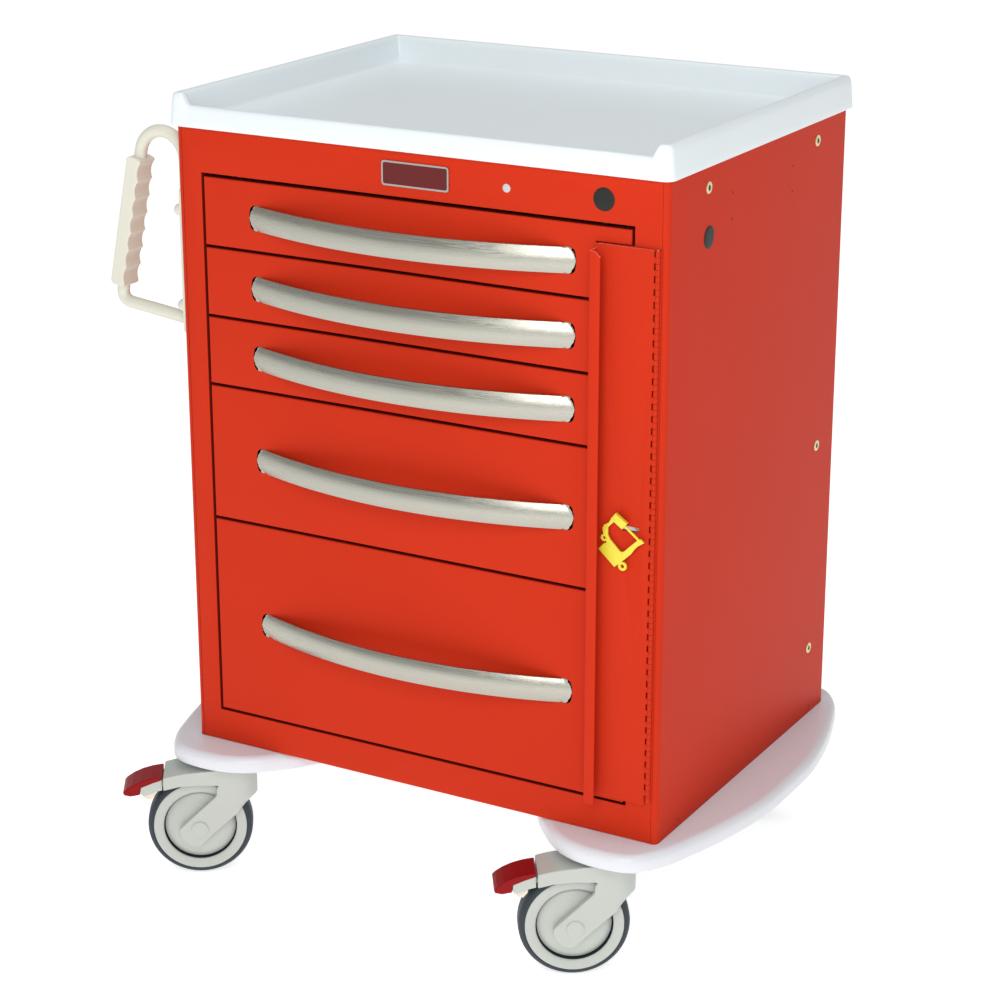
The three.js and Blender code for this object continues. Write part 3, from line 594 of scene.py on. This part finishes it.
# ---------------------------------------------------------------- drawers
def pull(k, centre_z):
    """A bowed strip with a crowned face, rounded corners and ends that lie on the drawer front."""
    p = PULL
    span = (p["right"] - p["left"]) / 2
    middle = (p["right"] + p["left"]) / 2
    radius = (span * span + p["bow"] ** 2) / (2 * p["bow"])
    reach = math.asin(span / radius)
    steps = 72
    rings = []
    for i in range(steps + 1):
        share = -math.cos(math.pi * i / steps)
        angle = reach * share
        from_end = radius * (reach - abs(angle))
        short = max(0, p["corner"] - from_end)
        half = p["height"] / 2 - p["corner"] + math.sqrt(max(p["corner"] ** 2 - short ** 2, 0.3))
        ring = []
        face = [(-1, 0.12)]
        for step in range(17):
            u = 0.97 * (step / 8 - 1)
            face.append((u, 1 - p["crown"] / p["thickness"] * u * u))
        face.append((1, 0.12))
        back = [(0.93, 0.0), (0.5, 0.2), (0, 0.28), (-0.5, 0.2), (-0.93, 0.0)]
        for u, v in face + back:
            r = radius - p["thickness"] + p["thickness"] * v
            x = middle + r * math.sin(angle)
            y = min(radius - p["bow"] - r * math.cos(angle), -0.25)
            ring.append((x, y, centre_z + u * half))
        rings.append(ring)
    make(f"pull_{k}", loft(rings), BRUSHED, f"drawer_{k}", [f"drawer_{k}_pull"], smooth=45)


def drawers():
    for k in range(1, DRAWERS + 1):
        body = f"drawer_{k}"
        front = cad_copy(f"{body}_front")
        soften(front, sharp_edges(front, test=lambda e: all(v.co.y < 0.1 for v in e.verts)), 1.6, 4)
        soften(front, sharp_edges(front, 60, lambda e: all(v.co.y > 1.6 for v in e.verts)), 0.3, 1)
        # The faces behind the front sheet take the painted gap shade.
        paint_gap_shade(front)
        make(f"front_{k}", front, [RED, GAP_SHADE_RED], body, [f"{body}_front"])
        tub = cad_copy(f"{body}_box")
        soften(tub, sharp_edges(tub), 0.4, 2)
        make(f"tub_{k}", tub, GREY_PAINT, body, [f"{body}_box"])
        low, high = [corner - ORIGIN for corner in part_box(f"{body}_pull")]
        pull(k, (low.z + high.z) / 2 / MM)
        for side in ("left", "right"):
            node = f"slide_mid_{side}_{k}"
            member = cad_copy(node)
            soften(member, sharp_edges(member), 0.35, 2)
            make(f"slide_{side}_{k}", member, ZINC, f"slide_mid_{k}", [node])
    for side in ("left", "right"):
        node = f"slide_rails_{side}"
        rails = cad_copy(node)
        soften(rails, sharp_edges(rails), 0.3, 1)
        make(f"rails_{side}", rails, ZINC, "cabinet", [node])


# ---------------------------------------------------------------- lock bar and seal
def lock_bar():
    """The folded bar, the hinge leaf on the cabinet and the pin between them."""
    b, h = BAR, HINGE
    fold = 0.9  # the inner radius of each bend
    outer = b["sheet"] + fold
    back = b["front"] + b["sheet"]
    lip_back = b["front"] - b["flange"] + b["sheet"]
    lip_front = lip_back - b["sheet"]
    plate_end = h["x"] - 3.9
    x0 = b["left"]
    outline = (
        [(x0 + b["lip"], lip_front), (x0 + b["lip"], lip_back), (x0 + outer, lip_back)]
        + arc(x0 + outer, lip_back + fold, fold, 270, 180, 4)
        + arc(x0 + outer, b["front"] - fold, fold, 180, 90, 4)
        + [(plate_end, b["front"]), (plate_end, back)]
        + arc(x0 + outer, back - outer, outer, 90, 180, 5)
        + arc(x0 + outer, lip_front + outer, outer, 180, 270, 5)
    )
    mesh = prism(outline, b["bottom"], b["top"])
    # The plate stands clear of the frame's sill, and the flange and lip stop below the plate's top.
    tools = slab(x0 + 2.1, h["x"] + 9, lip_back + 1, 1, b["bottom"] - 1, b["bottom"] + 4.4)
    shoulder = b["top"] - 4.2
    above = b["top"] + 1
    notch = [(x0 - 1, above), (x0 + 14, above), (x0 + 14, shoulder - 7)]
    notch += [(x0 + 6.5, shoulder), (x0 - 1, shoulder)]
    prism(notch, lip_front - 1, b["front"] - 1.2, axis="y", into=tools)
    s = STAPLE
    slot = rounded(s["left"] - 4, s["right"] + 4, s["z"] - 2.6, s["z"] + 2.6, 2.5, 5)
    prism(slot, b["front"] - 2, back + 2, axis="y", into=tools)
    mesh = carve(mesh, tools)
    soften(mesh, sharp_edges(mesh, 40), 0.3, 2)
    # Upward faces near the top take the second material, a paler red that is a painted highlight.
    for face in mesh.faces:
        if face.normal.z > 0.3 and face.calc_center_median().z > shoulder - 6:
            face.material_index = 1

    def knuckle(k, tab, into):
        """One knuckle of the hinge, with the tab (x0, x1, y0, y1) that joins it to its plate."""
        low = h["bottom"] + k * h["knuckle"]
        high = low + h["knuckle"]
        slab(*tab, low + 0.25, high - 0.25, into=into)
        barrel = [(0, low + 0.2), (h["radius"], low + 0.2), (h["radius"], high - 0.2), (0, high - 0.2)]
        lathe(barrel, 14, into=into, centre=(h["x"], h["y"]))

    for k in range(1, h["count"], 2):
        knuckle(k, (plate_end - 0.6, h["x"] - 0.6, b["front"] - 0.2, b["front"] + 1.3), mesh)
    make("lock_bar_skin", mesh, [RED, UPWARD_HIGHLIGHT_RED], "lock_bar", ["lock_bar"])

    top = h["bottom"] + h["count"] * h["knuckle"]
    leaf = slab(h["x"] + 0.8, h["x"] + 3.4, -1.6, -0.4, h["bottom"] + 0.2, top - 0.2)
    soften(leaf, sharp_edges(leaf), 0.3, 2)
    for k in range(0, h["count"], 2):
        knuckle(k, (h["x"] - 0.4, h["x"] + 2.6, -1.9, -0.6), leaf)
    make("hinge_leaf_skin", leaf, RED, "cabinet", ["hinge_leaf"])

    low, high = h["bottom"] - 0.8, top + 0.8
    rod = [(0, low), (0.9, low), (1.2, low + 0.3), (1.2, high - 0.3), (0.9, high), (0, high)]
    pin = lathe(rod, 16, centre=(h["x"], h["y"]))
    make("hinge_pin_skin", pin, STEEL, "cabinet", ["hinge_pin"])


def staple():
    """The bent wire that the seal hangs in, on its foot behind the bar."""
    s = STAPLE
    back = BAR["front"] + BAR["sheet"] + 0.8
    bend = 3
    line = [(s["left"], back)]
    line += arc(s["left"] + bend, s["reach"] + bend, bend, 180, 270, 6)
    line += arc(s["right"] - bend, s["reach"] + bend, bend, 270, 360, 6)
    line += [(s["right"], back)]
    mesh = sweep([(x, y, s["z"]) for x, y in line], s["wire"], 12)
    foot = rounded(s["left"] - 5, s["right"] + 5, s["z"] - 4, s["z"] + 4, 2, 5)
    prism(foot, back - 0.4, back + 0.8, axis="y", into=mesh)
    make("staple_wire", mesh, STEEL, "lock_bar", ["seal_staple"], smooth=45)


def seal():
    mesh = cad_copy("security_seal")
    soften(mesh, sharp_edges(mesh, 25), 0.35, 2)
    make("seal_moulding", mesh, YELLOW, "security_seal", ["security_seal"], smooth=40)


# ---------------------------------------------------------------- handle
def handle():
    """The bent tube on its plate, and the grip that is moulded round the leaning arm."""
    h, g = HANDLE, GRIP
    lean = h["lean"]
    line = [(h["x"] + h["arch"], 612), (h["x"] + h["arch"], 630)]
    line += arc(h["x"], h["z"], h["arch"], 0, 180 - math.degrees(lean), 28)
    bend = [(-98.6, 503), (-101.4, 488.4), (-88, 486.7)]
    line += [(-97.9, 507)]
    for k in range(1, 11):
        s = k / 10
        weights = ((1 - s) ** 2, 2 * s * (1 - s), s * s)
        line.append(tuple(sum(w * p[i] for w, p in zip(weights, bend)) for i in (0, 1)))
    line += [(-45, 482), (LEFT - 3, 477.2)]
    tube = sweep([(x, h["y"], z) for x, z in line], h["tube"], 24)
    make("handle_bar", tube, IVORY, "cabinet", ["handle_tube"], smooth=50)
    face = LEFT - 3.4
    plate = prism(rounded(h["y"] - 19, h["y"] + 19, 466, 626, 6, 6), face, LEFT - 0.4, axis="x")
    soften(plate, sharp_edges(plate, 60), 0.8, 3)
    make("handle_plate", plate, IVORY, "cabinet", smooth=40)
    turn = Matrix.Rotation(math.radians(-90), 4, "Y")
    cap = [(0, 9.6), (2.5, 9.4), (4.6, 8.4), (6.1, 6.4), (6.7, 3.8), (6.8, 0), (0, 0)]
    for k, (y, z) in enumerate([(12, 600.8), (36, 600.8), (12, 496.2), (36, 496.2)]):
        bolt = lathe(cap, 28)
        place = Matrix.Translation((face, y, z)) @ turn
        make(f"handle_bolt_{k + 1}", bolt, IVORY, "cabinet", place=place)

    start = Vector((h["x"] - h["arch"] * math.cos(lean), h["z"] + h["arch"] * math.sin(lean)))
    along = Vector((-math.sin(lean), -math.cos(lean)))
    inward = Vector((math.cos(lean), -math.sin(lean)))
    first = (start.y - g["top"]) / math.cos(lean)
    last = (start.y - g["bottom"]) / math.cos(lean)
    pitch = (last - first - 8) / g["fingers"]
    outline = [(first, 3), (first + 1, g["ridge"] - 2), (first + 3, g["ridge"])]
    for finger in range(g["fingers"]):
        for k in range(1, 13):
            share = k / 12
            dip = (g["ridge"] - g["valley"]) * math.sin(math.pi * share) ** 0.8
            outline.append((first + 4 + (finger + share) * pitch, g["ridge"] - dip))
    outline += [(last - 1, g["ridge"] - 1), (last, g["ridge"] - 3), (last, 3 - g["outer"])]
    outline += [(last - 3, -g["outer"]), (first + 3, -g["outer"]), (first, 3 - g["outer"])]
    flat = [start + along * s + inward * n for s, n in outline]
    mesh = prism([tuple(p) for p in flat], h["y"] - g["half"], h["y"] + g["half"], axis="y")
    grip = melted(mesh, voxel=0.7, rounds=4, faces=30000)
    make("grip_moulding", grip, IVORY, "cabinet", ["handle_grip"], smooth=60)


# ---------------------------------------------------------------- casters
def lying(x, z):
    """Lays a body that was turned about Z along the caster's Y, at a point of its X and Z."""
    return Matrix.Translation((x, 0, z)) @ Matrix.Rotation(math.radians(90), 4, "X")


def housing():
    """The swivel housing with its hood and two fork legs, moulded in one and cut out for the wheel."""
    radius, half, inner = FORK["radius"], FORK["half"], FORK["inner"]
    nose = [(x, y * half / radius) for x, y in arc(0, 0, radius, -90, 90, 24)]
    side = [(-21, -half)] + nose + [(-21, half)]
    levels = [(0.93, -21.2), (1, -22.6), (1, -60), (0.2, -75.5)]
    mesh = loft([[(x * across if x > 0 else x, y, z) for x, y in side] for across, z in levels])
    top = [(-6, -22.6), (-22, -25.2), (-40, -26.8), (-56, -28.2), (-70, -30.2), (-83, -33.4)]
    under = [(x, z - 3.2) for x, z in reversed(top)]
    prism(top + under, -half, half, axis="y", into=mesh)
    skirt = top + [(-83, -48.6), (-66, -44.6), (-44, -43.4), (-26, -43.6), (-6, -46)]
    leg = [(-10, -40), (-20.6, -44.6), (-23.2, -48), (-24, -56.6), (-66.5, -96.6)]
    leg += [(-66.2, -103), (-63, -110.4), (-57, -116), (-50, -118.8), (-44.5, -119)]
    leg += [(-26, -100.6), (0, -77.5), (0, -40)]
    for sign in (-1, 1):
        prism(skirt, *sorted((sign * 19.4, sign * half)), axis="y", into=mesh)
        prism(leg, *sorted((sign * inner, sign * half)), axis="y", into=mesh)
    body = melted(mesh, voxel=0.75, rounds=5, faces=36000)
    reach = FORK["wheel_space"]
    wheel_space = lathe([(0, -inner), (reach, -inner), (reach, inner), (0, inner)], 96)
    wheel_space.transform(lying(*AXLE))
    return carve(body, wheel_space)


def wheel():
    """The domed disc and its rim, with a groove between them whose faces take painted shade."""
    side = [
        (5, 17), (12, 17), (12.6, 15.2), (20, 14.9), (28, 13.6), (34, 11.8), (38.9, 9.4), (39.5, 8.8),
        (39.6, 5.5), (40.8, 5.5), (40.9, 13.2), (41.5, 14.3), (42.6, 14.9), (51, 14.9), (52, 14.6),
        (52.4, 13.8),
    ]
    profile = side + [(r, -y) for r, y in reversed(side)]
    mesh = lathe(profile, 96, closed=True)
    # Faces in the groove take the second material, painted shade.
    g = GROOVE_SHADE_BAND
    for face in mesh.faces:
        middle = face.calc_center_median()
        radius = math.hypot(middle.x, middle.y)
        if g["inner"] < radius < g["outer"] and abs(middle.z) < g["depth"]:
            face.material_index = 1
    return mesh


def tyre():
    side = [
        (52.5, 14.2), (53.2, 14.7), (54.4, 14.5), (56, 13.4), (57.4, 11.8), (58.4, 9.8), (58.9, 7.6), (59, 5),
        (59, 0),
    ]
    return lathe(side + [(r, -y) for r, y in side[-2::-1]], 96, closed=True)


def hub_cap(sign):
    rim = [(0, 25.6), (6.5, 25.6), (8.9, 25.5), (9.4, 25.1), (9.5, 24.2), (0, 24.2)]
    return lathe([(r, sign * y) for r, y in rim], 40)


def pedal():
    """The red upper part of the brake pedal, hooked down at its tip."""
    tread = [(-84.2, -33.7), (-96, -35.4), (-108, -38.8), (-118, -43.4), (-125, -48), (-128.6, -51.5)]
    tread += [(-127.4, -55), (-120, -56.8), (-109.4, -55), (-108.6, -46.8), (-96, -41.6), (-84.2, -37.6)]
    mesh = prism(tread, -19.2, 19.2, axis="y")
    return melted(mesh, voxel=0.7, rounds=4, faces=12000)


def shoe_plate():
    """The grey lower shell of the pedal, on the pedal's hub."""
    shell = [(-84.4, -37.2), (-96, -41.2), (-108.4, -46.4), (-109, -54.4)]
    shell += [(-104, -55.8), (-92, -51.6), (-84.5, -49.8)]
    mesh = prism(shell, -19.6, 19.6, axis="y")
    slab(-88, -80, -14, 14, -46.5, -40.8, into=mesh)
    hub = lathe([(0, -16.4), (3.9, -16.4), (3.9, 16.4), (0, 16.4)], 24)
    hub.transform(lying(*PEDAL_HUB))
    spare = bpy.data.meshes.new("hub")
    hub.to_mesh(spare)
    hub.free()
    mesh.from_mesh(spare)
    bpy.data.meshes.remove(spare)
    return melted(mesh, voxel=0.7, rounds=3, faces=12000)


def brake_shoe():
    block = [(-92, -51), (-108, -54), (-107.4, -58.6), (-102, -63), (-97.5, -63.4), (-93, -58)]
    mesh = prism(block, -14, 14, axis="y")
    return soften(mesh, sharp_edges(mesh), 1.2, 3)


def casters():
    turned = lying(*AXLE)
    straight = Matrix.Identity(4)
    rod = lathe([(0, -24.6), (4.6, -24.6), (4.6, 24.6), (0, 24.6)], 24)
    parts = [
        ("housing", housing(), CASTER_GREY, "caster", "caster_plastic", ["fork"], straight, 60),
        ("wheel_disc", wheel(), [CASTER_GREY, PAINTED_GROOVE_SHADE], "wheel", "caster_plastic", ["wheel"], turned, 35),
        ("tyre_ring", tyre(), RUBBER, "wheel", "tyre_rubber", ["tyre"], turned, 40),
        ("hub_cap_near", hub_cap(1), CASTER_GREY, "caster", "caster_plastic", ["axle"], turned, 40),
        ("hub_cap_far", hub_cap(-1), CASTER_GREY, "caster", "caster_plastic", [], turned, 40),
        ("axle_rod", rod, STEEL, "caster", "plain_steel", [], turned, 40),
        ("treadle", pedal(), SHADED_PEDAL_RED, "pedal", "pedal_plastic", ["pedal"], straight, 60),
        ("treadle_shell", shoe_plate(), CASTER_GREY, "pedal", "caster_plastic", [], straight, 60),
        ("brake_shoe", brake_shoe(), SHOE_WHITE, "pedal", "base_plastic", [], straight, 40),
    ]
    for part, mesh, look, group, slot, nodes, local, smooth in parts:
        for place, (x, y) in CASTERS.items():
            spot = Matrix.Translation((x, y, 0)) @ Matrix.Rotation(YAW, 4, "Z")
            replaced = [f"caster_{place}_{node}" for node in nodes]
            make(f"{part}_{place}", mesh.copy(), look, f"{group}_{place}", replaced, smooth,
                 spot @ local)
        mesh.free()


# ---------------------------------------------------------------- stage
def area(name, at, target, size, power):
    """A square white lamp, in the frame's metres."""
    light = bpy.data.lights.new(name, "AREA")
    light.shape = "RECTANGLE"
    light.size, light.size_y = size, size
    light.energy = power
    lamp = bpy.data.objects.new(name, light)
    bpy.context.scene.collection.objects.link(lamp)
    lamp.location = at
    lamp.rotation_euler = (Vector(target) - Vector(at)).to_track_quat("-Z", "Y").to_euler()


def camera_and_lights():
    azimuth, elevation = math.radians(CAMERA["azimuth"]), math.radians(CAMERA["elevation"])
    level = math.cos(elevation)
    back = Vector((math.sin(azimuth) * level, -math.cos(azimuth) * level, math.sin(elevation)))
    right = Vector((0, 0, 1)).cross(back).normalized()
    up = back.cross(right)
    data = bpy.data.cameras.new("camera")
    data.sensor_width = 36
    data.lens = CAMERA["lens"]
    data.clip_end = 200
    camera = bpy.data.objects.new("camera", data)
    bpy.context.scene.collection.objects.link(camera)
    turn = Matrix((right, up, back)).transposed().to_4x4()
    camera.matrix_world = Matrix.Translation(ORIGIN + Vector(CAMERA["at"]) * MM) @ turn
    bpy.context.scene.camera = camera

    floor = bpy.data.meshes.new("floor")
    size = 60
    corners = [(-size, -size, 0), (size, -size, 0), (size, size, 0), (-size, size, 0)]
    floor.from_pydata(corners, [], [(0, 1, 2, 3)])
    pale = material("pale floor", linear(231, 231, 231), 0.8, grain=40, bump=0, variation=0.01, specular=0)
    shader = pale.node_tree.nodes["Principled BSDF"]
    shader.inputs["Emission Color"].default_value = (1, 1, 1, 1)
    shader.inputs["Emission Strength"].default_value = 0.67
    floor.materials.append(pale)
    ground = bpy.data.objects.new("floor", floor)
    bpy.context.scene.collection.objects.link(ground)
    ground.location.z = -0.0004

    area("key", (0.8, -1.9, 1.4), (0, 0, 0.5), 1.4, 24)
    area("top", (0.1, 0.1, 3.6), (0, 0, 0.8), 2.6, 31)

    world = bpy.data.worlds.new("studio")
    world.use_nodes = True
    world.node_tree.nodes["Background"].inputs["Color"].default_value = (1, 1, 1, 1)
    world.node_tree.nodes["Background"].inputs["Strength"].default_value = 0.43
    bpy.context.scene.world = world
    bpy.context.scene.view_settings.view_transform = "Standard"


camera_and_lights()
cabinet_shell()
face_frame()
tray()
small_fittings()
badge()
base()
drawers()
lock_bar()
staple()
seal()
handle()
casters()
